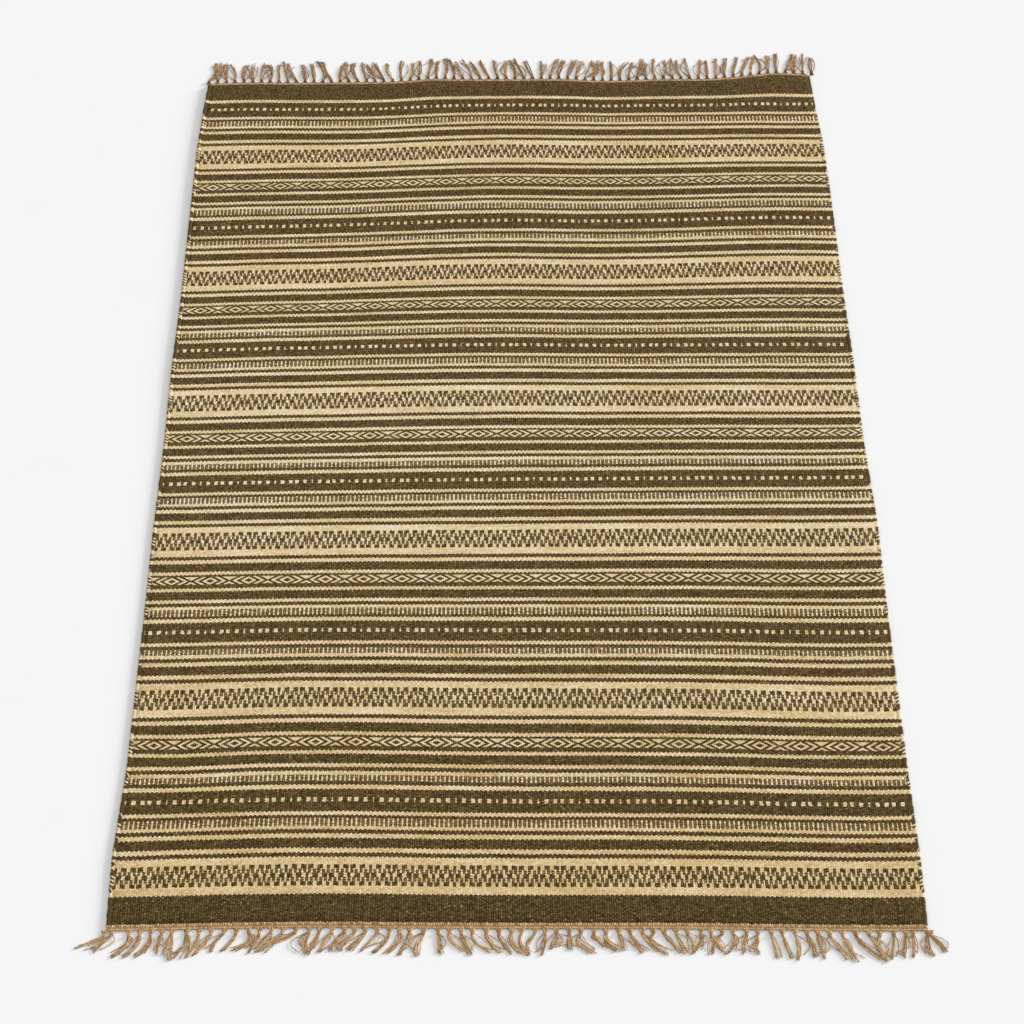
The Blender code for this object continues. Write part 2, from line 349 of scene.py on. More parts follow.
def makeWovenWool():
    # Hand-spun wool in weft-faced plain weave: matte, with small staggered floats over ribs of warp,
    # cream and brown-black stripes with serrated edges, and yarn that changes tone along its length
    material, tree, shader = newMaterial("handWovenStripedWool", 0.95, 0.0)
    look, lines = weaveLook, lozengeLines
    creamBase, creamRibs, creamRows = look["creamShade"]
    darkBase, darkRibs, darkRows = look["darkShade"]
    place = addNode(tree, "ShaderNodeUVMap", uv_map="weave")
    split = addNode(tree, "ShaderNodeSeparateXYZ", place)
    warp, pattern = split.outputs[0], split.outputs[1]
    floatMm = look["floatLengthMm"]

    # A slow waver of the weft lines, as hand beating leaves it
    waver = stretchedNoise(tree, warp, pattern, look["waverSteps"], 1.0, 2.0)
    wavered = addNode(tree, mathNode, pattern, swing(tree, waver, look["handWaverMm"]), operation="ADD")

    # The float under each point: its whole warp, and a row that is staggered by half on every second warp
    warpNumber = addNode(tree, mathNode, warp, operation="ROUND")
    oddWarp = addNode(tree, mathNode, warpNumber, 2.0, operation="FLOORED_MODULO")
    stagger = addNode(tree, mathNode, oddWarp, 0.5, operation="MULTIPLY")
    rows = addNode(tree, mathNode, wavered, 1 / floatMm, stagger, operation="MULTIPLY_ADD")
    rowNumber = addNode(tree, mathNode, rows, operation="FLOOR")
    rowMiddle = addNode(tree, mathNode, rowNumber, 0.5, operation="ADD")
    acrossFloat = addNode(tree, mathNode, warp, warpNumber, operation="SUBTRACT")
    alongFloat = addNode(tree, mathNode, rows, rowMiddle, operation="SUBTRACT")
    # The stripes' edges are serrated: they sway to and fro by the edge step over every two warps
    smoothInRepeat = addNode(tree, mathNode, wavered, repeatMm, operation="FLOORED_MODULO")
    smoothShare = addNode(tree, mathNode, smoothInRepeat, repeatMm, operation="DIVIDE")
    swayShare = addNode(tree, rampNode, smoothShare, hold=True,
                        stops=greyStops((start / repeatMm, share) for start, share in swayRows))
    halfTurns = addNode(tree, mathNode, warp, pi, operation="MULTIPLY")
    sway = addNode(tree, mathNode, halfTurns, operation="COSINE")
    swayMm = addNode(tree, mathNode, swayShare, look["edgeStepMm"], operation="MULTIPLY")
    wovenAt = addNode(tree, mathNode, sway, swayMm, wavered, operation="MULTIPLY_ADD")
    inRepeat = addNode(tree, mathNode, wovenAt, repeatMm, operation="FLOORED_MODULO")
    repeatShare = addNode(tree, mathNode, inRepeat, repeatMm, operation="DIVIDE")
    insets = {cream: look["creamInsetMm"], dark: -look["creamInsetMm"]}
    chart = addNode(tree, rampNode, repeatShare, hold=True, stops=[
        ((start + insets.get(kind, 0)) / repeatMm, kind) for start, kind in stripeChart])
    kinds = addNode(tree, "ShaderNodeSeparateColor", chart)

    # Stepped figure: on warps 0, 3-4 and 7-8 either side of its middle, repeated every 18 warps
    longShare = addNode(tree, mathNode, wovenAt, wholePatternMm, operation="DIVIDE")
    sideways = addNode(tree, rampNode, longShare, hold=True,
                       stops=greyStops((start / wholePatternMm, on) for start, on in sidewaysRows))
    figureWarp = addNode(tree, mathNode, sideways, -halfFigureWarps, warp, operation="MULTIPLY_ADD")
    toAndFro = addNode(tree, mathNode, figureWarp, halfFigureWarps, operation="PINGPONG")
    halfOn = addNode(tree, mathNode, toAndFro, 0.5, operation="ADD")
    fromStroke = addNode(tree, mathNode, halfOn, 2.0, operation="PINGPONG")
    # Dark strokes and bars spread a little way over the cream warps beside them, more on some floats
    floatPlace = addNode(tree, "ShaderNodeCombineXYZ", warpNumber, rowNumber)
    speckle = addNode(tree, "ShaderNodeTexWhiteNoise", floatPlace, noise_dimensions="2D")
    evenSpread = addNode(tree, mathNode, kinds.outputs[2], 2 * look["darkSpread"],
                         -look["darkSpread"] - look["unevenSpread"] / 2, operation="MULTIPLY_ADD")
    spread = addNode(tree, mathNode, speckle, look["unevenSpread"], evenSpread, operation="MULTIPLY_ADD")
    strokeEdge = addNode(tree, mathNode, spread, 1.0, operation="ADD")
    stepped = addNode(tree, mathNode, fromStroke, strokeEdge, operation="LESS_THAN")
    fromBar = addNode(tree, mathNode, figureWarp, 1.0, operation="PINGPONG")
    barEdge = addNode(tree, mathNode, 0.5, spread, operation="SUBTRACT")
    oddFigure = addNode(tree, mathNode, fromBar, barEdge, operation="GREATER_THAN")
    figure = addNode(tree, mathNode, kinds.outputs[0], stepped, operation="MULTIPLY")
    counted = addNode(tree, mathNode, kinds.outputs[1], oddFigure, figure, operation="MULTIPLY_ADD")
    difference = addNode(tree, mathNode, kinds.outputs[2], counted, operation="SUBTRACT")
    clean = addNode(tree, mathNode, difference, operation="ABSOLUTE")
    # Where two yarns alternate in the barred rows, every other pick crosses the bars as a thin cream line
    crossing = addNode(tree, mathNode, pattern, look["crossYarnMm"] / 2, operation="PINGPONG")
    crossed = addNode(tree, mathNode, crossing, look["crossYarnWidth"] * look["crossYarnMm"],
                      operation="LESS_THAN")
    barred = addNode(tree, mathNode, crossed, kinds.outputs[1], operation="MULTIPLY")
    thinned = addNode(tree, mathNode, barred, look["crossYarnShare"], operation="MULTIPLY")
    woven = addNode(tree, mathNode, clean, thinned, operation="MAXIMUM")

    # Lozenges and chevrons: lines where across + slant height is 14, 33 and 52 mm from a lozenge's middle
    fromBandMiddle = addNode(tree, mathNode, smoothInRepeat, lines["middleMm"], operation="SUBTRACT")
    height = addNode(tree, mathNode, fromBandMiddle, operation="ABSOLUTE")
    fromLozenge = addNode(tree, mathNode, warp, halfFigureWarps, operation="PINGPONG")
    startMm = addNode(tree, mathNode, fromLozenge, warpPitchMm, -lines["firstMm"], operation="MULTIPLY_ADD")
    slanted = addNode(tree, mathNode, height, lines["slant"], startMm, operation="MULTIPLY_ADD")
    fromLine = addNode(tree, mathNode, slanted, lines["halfApartMm"], operation="PINGPONG")
    onLine = addNode(tree, mathNode, fromLine, lines["halfWidthMm"], operation="LESS_THAN")
    # Between two sets of chevrons the part beyond the third line is filled, on the side towards the far end
    beyond = addNode(tree, mathNode, slanted, 4 * lines["halfApartMm"], operation="GREATER_THAN")
    farSide = addNode(tree, mathNode, fromBandMiddle, 0.0, operation="LESS_THAN")
    filled = addNode(tree, mathNode, beyond, farSide, onLine, operation="MULTIPLY_ADD")
    inBand = addNode(tree, mathNode, fromBandMiddle, lines["offsetMm"], lines["halfHeightMm"],
                     operation="COMPARE")
    lozenges = addNode(tree, mathNode, filled, inBand, operation="MULTIPLY")
    patterned = addNode(tree, mathNode, woven, lozenges, operation="MAXIMUM", use_clamp=True)
    isCream = addNode(tree, mathNode, patterned, betweenEndBands(tree, wovenAt), operation="MULTIPLY")

    # Tone of the yarn: by float, in streaks along the weft, and in broad patches
    speckleTone = swing(tree, speckle, look["speckle"])
    # Each pick floats over every second warp, so that odd and even warps have streaks of their own
    pickRow = addNode(tree, mathNode, oddWarp, look["oddRowsApart"], rowNumber, operation="MULTIPLY_ADD")
    streak = stretchedNoise(tree, warp, pickRow, look["streakSteps"], look["streakScale"], 1.0)
    streakTone = swing(tree, streak, look["streak"])
    patch = stretchedNoise(tree, warp, pattern, look["patchSteps"], 1.0, 3.0)
    tone = addNode(tree, mathNode, speckleTone, streakTone, operation="ADD")
    fullTone = addNode(tree, mathNode, tone, swing(tree, patch, look["patch"]), operation="ADD")
    alongTone = addNode(tree, rampNode, longShare, stops=greyStops(look["creamAlong"]))
    creamTone = addNode(tree, mathNode, fullTone, alongTone, operation="ADD", use_clamp=True)
    creamYarn = addNode(tree, rampNode, creamTone, stops=colourStops((0.0, 0.45, 1.0), look["creams"]))
    darkAlong = addNode(tree, mathNode, alongTone, *look["darkAlong"], operation="MULTIPLY_ADD")
    darkGrain = addNode(tree, mathNode, speckleTone, look["darkSpeckle"], darkAlong, operation="MULTIPLY_ADD")
    darkTone = addNode(tree, mathNode, streakTone, look["darkStreak"], darkGrain, operation="MULTIPLY_ADD",
                       use_clamp=True)
    plainDark = addNode(tree, rampNode, darkTone, stops=colourStops((0.0, 0.5, 1.0), look["darks"]))
    hasFleck = addNode(tree, mathNode, speckle, 1 - look["flecks"], operation="GREATER_THAN")
    darkYarn = addNode(tree, "ShaderNodeMix", hasFleck, named={6: plainDark, 7: linearColour(look["fleck"])},
                       data_type="RGBA").outputs[2]
    yarn = addNode(tree, "ShaderNodeMix", isCream, named={6: darkYarn, 7: creamYarn}, data_type="RGBA")
    # Hand-dyed lots of yarn differ a little, some warmer and some greener: 1 + tint (noise - 1/2) a channel
    lotTint = addNode(tree, "ShaderNodeVectorMath", patch.outputs[1], (look["tint"],) * 3,
                      (1 - look["tint"] / 2,) * 3, operation="MULTIPLY_ADD")
    dyed = addNode(tree, "ShaderNodeVectorMath", yarn.outputs[2], lotTint, operation="MULTIPLY")

    # Each float is rounded, d^2 from its middle both ways, and the gaps between floats are in shade: between
    # rows on cream, which leaves fine zigzag lines, and between warps on dark, which leaves ribs
    acrossSquare = addNode(tree, mathNode, acrossFloat, acrossFloat, operation="MULTIPLY")
    alongSquare = addNode(tree, mathNode, alongFloat, alongFloat, operation="MULTIPLY")
    rowGap = addNode(tree, mathNode, alongSquare, -creamRows, creamBase, operation="MULTIPLY_ADD")
    creamShade = addNode(tree, mathNode, acrossSquare, -creamRibs, rowGap, operation="MULTIPLY_ADD")
    ribGap = addNode(tree, mathNode, acrossSquare, -darkRibs, darkBase, operation="MULTIPLY_ADD")
    darkShade = addNode(tree, mathNode, alongSquare, -darkRows, ribGap, operation="MULTIPLY_ADD")
    shade = addNode(tree, "ShaderNodeMix", isCream, named={2: darkShade, 3: creamShade})
    bothSquares = addNode(tree, mathNode, acrossSquare, 1.5, alongSquare, operation="MULTIPLY_ADD")
    profile = addNode(tree, mathNode, bothSquares, -1.6, 1.0, operation="MULTIPLY_ADD")
    shaded = addNode(tree, "ShaderNodeVectorMath", dyed, named={"Scale": shade}, operation="SCALE")
    linkSurface(tree, shader, shaded, profile, look["bumpMm"])
    return material


print("rug: weaving the cloth")
cloth = {
    "topHeight": 0.0046,
    "rimHeight": 0.0032,
    "rippleHeight": 0.0004,
    "columns": 134,
    "rows": 188,
    "sideInset": 0.0040,
    "rimWidth": 0.0020,
}


def closedSheetFaces(rows, columns):
    # Top grid, then the same grid below turned over, then a wall of quads round the rim
    index = np.arange(rows * columns).reshape(rows, columns)
    a, b, c, d = index[:-1, :-1], index[:-1, 1:], index[1:, 1:], index[1:, :-1]
    top = np.stack([a, b, c, d], axis=-1).reshape(-1, 4)
    rim = np.concatenate([index[0, :-1], index[:-1, -1], index[-1, :0:-1], index[:0:-1, 0]])
    after = np.roll(rim, -1)
    below = rows * columns
    wall = np.stack([rim + below, after + below, after, rim], axis=-1)
    return top, top[:, ::-1] + below, wall


def makeCloth(material):
    # Height = top + ripple (sin(5.1 u + 2.3 v) cos(8.7 v - 1.9 u) + 0.6 sin(13 v + 1.1)), lower at the rim.
    # The underside is level on the floor.
    edgeU = 1 - cloth["sideInset"] / clothLie["halfWidth"]
    rimU = cloth["rimWidth"] / clothLie["halfWidth"]
    rimV = cloth["rimWidth"] / clothLie["halfLength"]
    innerU = np.linspace(rimU - edgeU, edgeU - rimU, cloth["columns"] - 2)
    innerV = np.linspace(rimV - 1, 1 - rimV, cloth["rows"] - 2)
    across, along = np.concatenate([[-edgeU], innerU, [edgeU]]), np.concatenate([[-1], innerV, [1]])
    v, u = np.meshgrid(along, across, indexing="ij")
    x, y = clothPlan(u, v)
    ripples = np.sin(5.1 * u + 2.3 * v) * np.cos(8.7 * v - 1.9 * u) + 0.6 * np.sin(13.0 * v + 1.1)
    onRim = (np.abs(u) > edgeU - 1e-6) | (np.abs(v) > 1 - 1e-6)
    z = np.where(onRim, cloth["rimHeight"], cloth["topHeight"] + cloth["rippleHeight"] * ripples)
    points = np.concatenate([np.stack([x, y, z], axis=-1).reshape(-1, 3),
                             np.stack([x, y, np.zeros(x.shape)], axis=-1).reshape(-1, 3)])
    top, bottom, wall = closedSheetFaces(*x.shape)
    corners = np.concatenate([group.ravel() for group in (top, bottom, wall)])
    warp, pattern = (np.tile(values.ravel(), 2) for values in weavePlace(u, v))
    weave = np.stack([warp, pattern], axis=-1)[corners]
    # The baked map gives the top four fifths of its width, and the underside and the rim the rest
    share = np.stack([(u / edgeU + 1) / 2, (v + 1) / 2], axis=-1).reshape(-1, 2)
    topPlaces = share * [0.80, 0.99] + 0.005
    underPlaces = share * [0.16, 0.99] + [0.82, 0.005]
    rimPlaces = np.concatenate([topPlaces, topPlaces])
    baked = np.concatenate([np.concatenate([topPlaces, underPlaces])[corners[:(len(top) + len(bottom)) * 4]],
                            rimPlaces[wall.ravel()] * [0, 1] + [0.995, 0]])
    return makePiece("wovenCloth", points, [top, bottom, wall], {"OFBake": baked, "weave": weave},
                     material, "woven_cloth")


wovenCloth = makeCloth(makeWovenWool())


print("rug: wrapping the selvedges")
selvedge = {
    "width": 0.0092,
    "thickness": 0.0050,
    "leftCurl": 0.0030,
    "ringSpacing": 0.00125,
    "sides": 12,
    "wrapSpacingMm": 4.6,
    "turnSpacingMm": 8.8,
    "turnShare": 0.23,
    "wrapHeight": 0.0007,
    "wander": 0.0009,
    "climb": 1.8,
    "climbContrast": (7.0, -3.7),
    "turnClimb": 0.5,
    "carriedMm": 2.0,
    "grain": (1.6, -0.22),
    "wrapGrooveShade": 0.22,
    # Painted shade on the outer side: from this many mm outward, over this many more, and how much it darkens
    "paintedShadeFromMm": 8.0,
    "paintedShadeOverMm": 1.2,
    "paintedRimShade": 0.5,
    "bumpMm": 0.4,
}


def makeCarriedWool():
    # Weft yarns carried up the outer warps: slanted dark wraps, crossed by a thin cream yarn from each stripe
    material, tree, shader = newMaterial("handWrappedSelvedgeWool", 0.95, 0.0)
    place = addNode(tree, "ShaderNodeUVMap", uv_map="weave")
    split = addNode(tree, "ShaderNodeSeparateXYZ", place)
    outwardMm, pattern = split.outputs[0], split.outputs[1]
    # Some stripes turn straight at the edge and others are carried up over it
    stripeNoise = addNode(tree, noiseNode, named={"Scale": 0.055, "Detail": 0.0, "W": pattern},
                          noise_dimensions="1D")
    climbing = addNode(tree, mathNode, stripeNoise, *selvedge["climbContrast"], operation="MULTIPLY_ADD",
                       use_clamp=True)
    climb = addNode(tree, mathNode, climbing, selvedge["climb"], operation="MULTIPLY")
    source = addNode(tree, mathNode, outwardMm, climb, pattern, operation="MULTIPLY_ADD")
    inRepeat = addNode(tree, mathNode, source, repeatMm, operation="FLOORED_MODULO")
    repeatShare = addNode(tree, mathNode, inRepeat, repeatMm, operation="DIVIDE")
    starts = [start for start, kind in stripeChart] + [repeatMm]
    middles = [(starts[k] + starts[k + 1]) / 2 for k, stripe in enumerate(stripeChart) if stripe[1] == cream]
    edges = [((middle + side * selvedge["carriedMm"]) / repeatMm, side < 0) for middle in middles
             for side in (-1, 1)]
    carriedUp = addNode(tree, rampNode, repeatShare, hold=True, stops=greyStops([(0.0, 0), *edges]))
    # Red marks the rows of motifs, where dark and cream yarns are carried up in turn
    turnedBack = addNode(tree, rampNode, repeatShare, hold=True, stops=[
        (start / repeatMm, kind if kind in (cream, dark) and start != lozengeStartMm else (1, 0, 0, 1))
        for start, kind in stripeChart if kind in (cream, dark) or start in motifStartsMm])
    turnedKinds = addNode(tree, "ShaderNodeSeparateColor", turnedBack)
    wrapAt = addNode(tree, mathNode, outwardMm, selvedge["climb"], pattern, operation="MULTIPLY_ADD")
    wraps = addNode(tree, mathNode, wrapAt, 2 * pi / selvedge["wrapSpacingMm"], operation="MULTIPLY")
    wave = addNode(tree, mathNode, wraps, operation="COSINE")
    turnAt = addNode(tree, mathNode, outwardMm, selvedge["turnClimb"], pattern, operation="MULTIPLY_ADD")
    turns = addNode(tree, mathNode, turnAt, selvedge["turnSpacingMm"] / 2, operation="PINGPONG")
    onWrap = addNode(tree, mathNode, turns, selvedge["turnShare"] * selvedge["turnSpacingMm"],
                     operation="LESS_THAN")
    inTurn = addNode(tree, mathNode, onWrap, turnedKinds.outputs[0], turnedKinds.outputs[2],
                     operation="MULTIPLY_ADD")
    carried = addNode(tree, "ShaderNodeMix", climbing, named={2: inTurn, 3: carriedUp})
    isCream = addNode(tree, mathNode, carried, betweenEndBands(tree, source), operation="MULTIPLY")
    noise = addNode(tree, noiseNode, place, named={"Scale": 0.4, "Detail": 3.0})
    noiseTone = addNode(tree, mathNode, noise, *selvedge["grain"], operation="MULTIPLY_ADD")
    # Painted shade in the grooves between the wraps, lighter on their crests
    tone = addNode(tree, mathNode, wave, selvedge["wrapGrooveShade"], noiseTone, operation="MULTIPLY_ADD",
                   use_clamp=True)
    creamYarn = addNode(tree, rampNode, tone, stops=colourStops((0.0, 0.4, 0.9), weaveLook["creams"]))
    darkYarn = addNode(tree, rampNode, tone, stops=colourStops((0.0, 0.5, 1.0), weaveLook["darks"]))
    yarn = addNode(tree, "ShaderNodeMix", isCream, named={6: darkYarn, 7: creamYarn}, data_type="RGBA")
    # The outer side is darkened with painted shade, which keeps the low light from drawing a bright rim on it
    rim = addNode(tree, mathNode, outwardMm, 1 / selvedge["paintedShadeOverMm"],
                  -selvedge["paintedShadeFromMm"] / selvedge["paintedShadeOverMm"], operation="MULTIPLY_ADD",
                  use_clamp=True)
    paintedRimShade = addNode(tree, mathNode, rim, -selvedge["paintedRimShade"], 1.0, operation="MULTIPLY_ADD")
    rimShadedYarn = addNode(tree, "ShaderNodeVectorMath", yarn.outputs[2], named={"Scale": paintedRimShade},
                   operation="SCALE")
    linkSurface(tree, shader, rimShadedYarn, wave, selvedge["bumpMm"])
    return material


def makeSelvedge(name, way, material):
    # A squared oval carried along the cloth's side: width (1 + C) / 2 outwards and thickness (1 + S) / 2 up,
    # with C and S the square roots of |cos a| and |sin a| with their signs,
    # swollen by wrap height cos(2 pi (p + climb outward) / spacing), so that the wraps climb outwards, and
    # by wander (sin(p / 2.9) sin(p / 7.3 +- 1) + sin(p / 4.7 + 2)) / 2, where p is the pattern's millimetres.
    # The left one curls up towards the far end, where it is thicker by curl (0.3 + 0.9 v).
    rings = int(2 * clothLie["halfLength"] / selvedge["ringSpacing"])
    angles = 2 * pi * np.arange(selvedge["sides"]) / selvedge["sides"]
    v, angle = np.meshgrid(np.linspace(-1, 1, rings), angles, indexing="ij")
    edgeX, edgeY = clothPlan(np.full(v.shape, float(way)), v)
    levelShare, upShare = (np.sign(wave) * np.sqrt(np.abs(wave)) for wave in (np.cos(angle), np.sin(angle)))
    outward = selvedge["width"] * (1 + levelShare) / 2
    pattern = weavePlace(np.full(v.shape, float(way)), v)[1]
    phase = (pattern + selvedge["climb"] * 1000 * outward) * 2 * pi / selvedge["wrapSpacingMm"]
    swell = selvedge["wrapHeight"] * np.cos(phase)
    wander = selvedge["wander"] * (
        np.sin(pattern / 2.9) * np.sin(pattern / 7.3 + way) + np.sin(pattern / 4.7 + 2))
    x = edgeX - way * (selvedge["width"] - outward - (swell + wander / 2) * np.cos(angle))
    thickness = selvedge["thickness"] + (way < 0) * selvedge["leftCurl"] * np.clip(0.3 + 0.9 * v, 0, 1)
    z = np.maximum((thickness / 2) * (1 + upShare) + swell * np.sin(angle), 0.0)
    points = np.stack([x, edgeY, z], axis=-1).reshape(-1, 3)
    index = np.arange(v.size).reshape(v.shape)
    turned = np.roll(index, -1, axis=1)
    walls = np.stack([index[:-1], turned[:-1], turned[1:], index[1:]], axis=-1).reshape(-1, 4)
    caps = np.stack([index[0, ::-1], index[-1]])
    if way > 0:
        walls, caps = walls[:, ::-1], caps[:, ::-1]
    places = np.stack([outward * 1000, pattern], axis=-1).reshape(-1, 2)
    corners = np.concatenate([walls.ravel(), caps.ravel()])
    return makePiece(name, points, [walls, caps], {"weave": places[corners]}, material,
                     "woven_cloth")


carriedWool = makeCarriedWool()
selvedges = [makeSelvedge("selvedgeLeft", -1, carriedWool), makeSelvedge("selvedgeRight", 1, carriedWool)]


print("rug: twining the end strips")
strip = {
    "gap": 0.0002,
    "coreHeight": 0.0026,
    "nearWidth": 0.0112,
    "farWidth": 0.0092,
    "overlap": 0.0010,
    "sideInset": 0.0030,
    "coreInset": 0.0015,
    "stitchLength": 0.46,  # share of the whole width
    "stitchSlant": 0.0030,
    "stitchRise": 0.0012,
    "stitchLift": 0.0024,  # over the cloth
    "stitchJitter": 0.0003,
    "stitchRows": ((0.26, 0.0050, 0.0034), (0.48, 0.0031, 0.0017), (0.80, 0.0031, 0.0016)),
    "stitchFlatness": 0.55,
    "plies": 2,
    "plyMm": 5.0,
    "bumpMm": 0.3,
    "grain": (1.8, -0.65),
    "yarnTone": 0.5,
    "plyGrooveShade": 0.14,
    "sideShade": (-0.42, 1.05),
    "knottedMm": 14.0,
    "nearColours": ("#866745", "#c6a073", "#eccd9d"),
    "nearStripColours": ("#96754f", "#c8a475", "#e4c394"),
    "farColours": ("#583f29", "#a47d54", "#e9c697"),
    "farStripColours": ("#846443", "#c39d6f", "#e6c795"),
}


def makeCordWool(name, colours, rootShade):
    # Undyed two-ply wool cord: matte and hairy, with slanted plies and painted shade in fine dark lines
    # between them, and darker round the knot at its root, painted shade with some grime
    material, tree, shader = newMaterial(name, 0.95, 0.05)
    place = addNode(tree, "ShaderNodeUVMap", uv_map="yarn")
    split = addNode(tree, "ShaderNodeSeparateXYZ", place)
    turn = addNode(tree, mathNode, split.outputs[0], 2 * pi * strip["plies"], operation="MULTIPLY")
    lay = addNode(tree, mathNode, split.outputs[1], 2 * pi / strip["plyMm"], turn, operation="MULTIPLY_ADD")
    wave = addNode(tree, mathNode, lay, operation="SINE")
    noise = addNode(tree, noiseNode, place, named={"Scale": 0.12, "Detail": 4.0})
    noiseTone = addNode(tree, mathNode, noise, *strip["grain"], operation="MULTIPLY_ADD")
    yarnShare = addNode(tree, mathNode, split.outputs[1], 1 / yarnApartMm, operation="MULTIPLY")
    yarnNumber = addNode(tree, mathNode, yarnShare, operation="FLOOR")
    yarnTone = addNode(tree, "ShaderNodeTexWhiteNoise", named={"W": yarnNumber}, noise_dimensions="1D")
    ownTone = addNode(tree, mathNode, yarnTone, strip["yarnTone"], noiseTone, operation="MULTIPLY_ADD")
    # Painted shade in the grooves between the plies, lighter on their crests
    tone = addNode(tree, mathNode, wave, strip["plyGrooveShade"], ownTone, operation="MULTIPLY_ADD", use_clamp=True)
    shades = addNode(tree, rampNode, tone, stops=colourStops((0.0, 0.5, 1.0), colours))
    # Round the yarn its top is at a quarter turn, and both sides are in the shade of its neighbours
    quarterTurns = addNode(tree, mathNode, split.outputs[0], 2 * pi, operation="MULTIPLY")
    sideways = addNode(tree, mathNode, quarterTurns, operation="COSINE")
    sideSquare = addNode(tree, mathNode, sideways, sideways, operation="MULTIPLY")
    sideShade = addNode(tree, mathNode, sideSquare, *strip["sideShade"], operation="MULTIPLY_ADD")
    # Painted shade with some grime round the knot: darker near the root, fading out past it
    fromRootMm = addNode(tree, mathNode, split.outputs[1], yarnApartMm, operation="FLOORED_MODULO")
    outOfKnot = addNode(tree, mathNode, fromRootMm, 1 / strip["knottedMm"], -0.5, operation="MULTIPLY_ADD",
                        use_clamp=True)
    rootTone = addNode(tree, mathNode, outOfKnot, rootShade, 1 - rootShade, operation="MULTIPLY_ADD")
    bothShades = addNode(tree, mathNode, sideShade, rootTone, operation="MULTIPLY")
    shadedWool = addNode(tree, "ShaderNodeVectorMath", shades, named={"Scale": bothShades}, operation="SCALE")
    linkSurface(tree, shader, shadedWool, wave, strip["bumpMm"])
    return material


def stripLine(x, end):
    # Y of the cloth's end at each x, read from the same plan
    u = np.linspace(-1, 1, 400)
    lineX, lineY = clothPlan(u, np.full(u.shape, float(end)))
    return np.interp(x, lineX, lineY)


def makeStrip(name, end, width, material, node, seed):
    # A flat core under three rows of arched stitches. The first row is straight and coarser and laps over the
    # cloth's end, and the other two slant against each other like a plait: across = slant (s - 1/2),
    # out = length (s - 1/2), up = flatness radius + rise sin(pi s), and more where it lies over the cloth.
    picker = np.random.default_rng(seed)
    left, right = clothPlan(np.array([-1.0, 1.0]), np.full(2, float(end)))[0]
    coreX = np.linspace(left + strip["coreInset"], right - strip["coreInset"], 420)
    coreY = stripLine(coreX, end) + end * (strip["gap"] + width / 2)
    corePath = np.stack([coreX, coreY, np.full(coreX.shape, strip["coreHeight"] / 2)], axis=-1)[None]
    coreRadii = np.full(corePath.shape[:2], width / 2 - 0.0004)
    core = carryTubes(corePath, coreRadii, 8, flatten=strip["coreHeight"] / width)
    wholeWidth = width + strip["overlap"]
    s = np.linspace(0, 1, 5)[None]
    rows = [core]
    for row, (middle, spacing, radius) in enumerate(strip["stitchRows"]):
        stitchX = np.arange(left + strip["sideInset"], right - strip["sideInset"], spacing)[:, None]
        jitter = picker.normal(0, strip["stitchJitter"], (3, *stitchX.shape))
        slant = (0, 1, -1)[row] * strip["stitchSlant"]
        x = stitchX + row * spacing / 2 + jitter[0] + slant * (s - 0.5)
        out = wholeWidth * (middle + strip["stitchLength"] * (s - 0.5)) - strip["overlap"] + jitter[1]
        overCloth = strip["stitchLift"] * np.clip((0.0015 - out) / 0.0025, 0, 1)
        arch = strip["stitchRise"] * np.sin(pi * s)
        z = strip["stitchFlatness"] * radius + arch + overCloth + np.abs(jitter[2])
        paths = np.stack([x, stripLine(x, end) + end * out, z], axis=-1)
        radii = radius * (0.82 + 0.18 * np.sin(pi * s)) + 0 * x
        rows.append(carryTubes(paths, radii, 5, flatten=strip["stitchFlatness"]))
    points, faces, places = joinTubes(rows)
    return makePiece(name, points, faces, {"yarn": places}, material, node)


print("rug: knotting the fringes")
fringe = {
    "yarnsEachTassel": 9,
    "yarnRadius": 0.00101,
    "steps": 12,
    "sides": 5,
    "knotOut": 0.0105,
    "webHalfWidth": 0.0072,
    "neckHalfWidth": 0.0017,
    "hankHalfWidth": 0.0044,
    "hankSpread": 0.28,
    "hankBow": 0.0042,
    "hankPower": (0.9, 1.9),
    "hankGather": (-0.45, 0.5),
    "yarnMix": 0.22,
    "yarnBow": 0.0011,
    "yarnRipple": 0.0006,
    "yarnFlatness": 0.8,
    "strayShare": 0.33,
    "strayBow": 0.0105,
    "strayTip": 0.0085,
    "strayShorter": 0.12,
    "yarnLonger": (-0.08, 0.02),
    "hairsEachYarn": 3,
    "hairRadius": 0.0006,
    "hairLength": 0.0042,
    "knotRadius": 0.00095,
    "knotAcross": 0.0029,
    "knotUp": 0.0021,
    "knotHeight": 0.0036,
    "knotLength": 0.0045,
}

# Each near tassel as it lies: root across the rug, lean of its tips and reach out from the strip, in mm
nearTassels = np.array([
    (-853, -52, 36), (-838, -34, 46), (-802, -30, 56), (-757, -27, 58), (-734, 0, 51), (-713, 0, 64),
    (-683, -14, 62), (-632, -32, 56), (-605, -25, 48), (-555, -28, 48), (-532, -20, 52), (-484, -41, 52),
    (-457, -50, 36), (-430, -6, 58), (-409, -23, 56), (-357, -26, 50), (-314, -33, 48), (-264, -31, 52),
    (-222, -20, 56), (-193, -14, 58), (-164, 6, 56), (-141, 31, 48), (-116, 19, 56), (-93, 37, 50),
    (-64, 29, 52), (-12, 23, 54), (8, 13, 56), (37, -15, 56), (58, -9, 56), (81, -13, 44), (108, 0, 44),
    (131, 23, 52), (158, 23, 40), (183, 27, 48), (210, 9, 48), (233, 25, 52), (258, 33, 48), (281, 27, 54),
    (303, 31, 50), (328, 21, 54), (351, 10, 52), (380, -15, 48), (399, 24, 50), (424, -25, 52),
    (445, -16, 52), (474, -10, 52), (497, -4, 54), (524, 10, 60), (547, 15, 60), (574, 0, 62),
    (598, 12, 56), (621, 10, 60), (644, 33, 62), (671, 21, 64), (698, 52, 62), (725, 31, 66),
    (748, 10, 64), (777, -12, 60), (802, -12, 56), (817, -6, 56), (846, 5, 54), (853, 26, 46),
]) / 1000
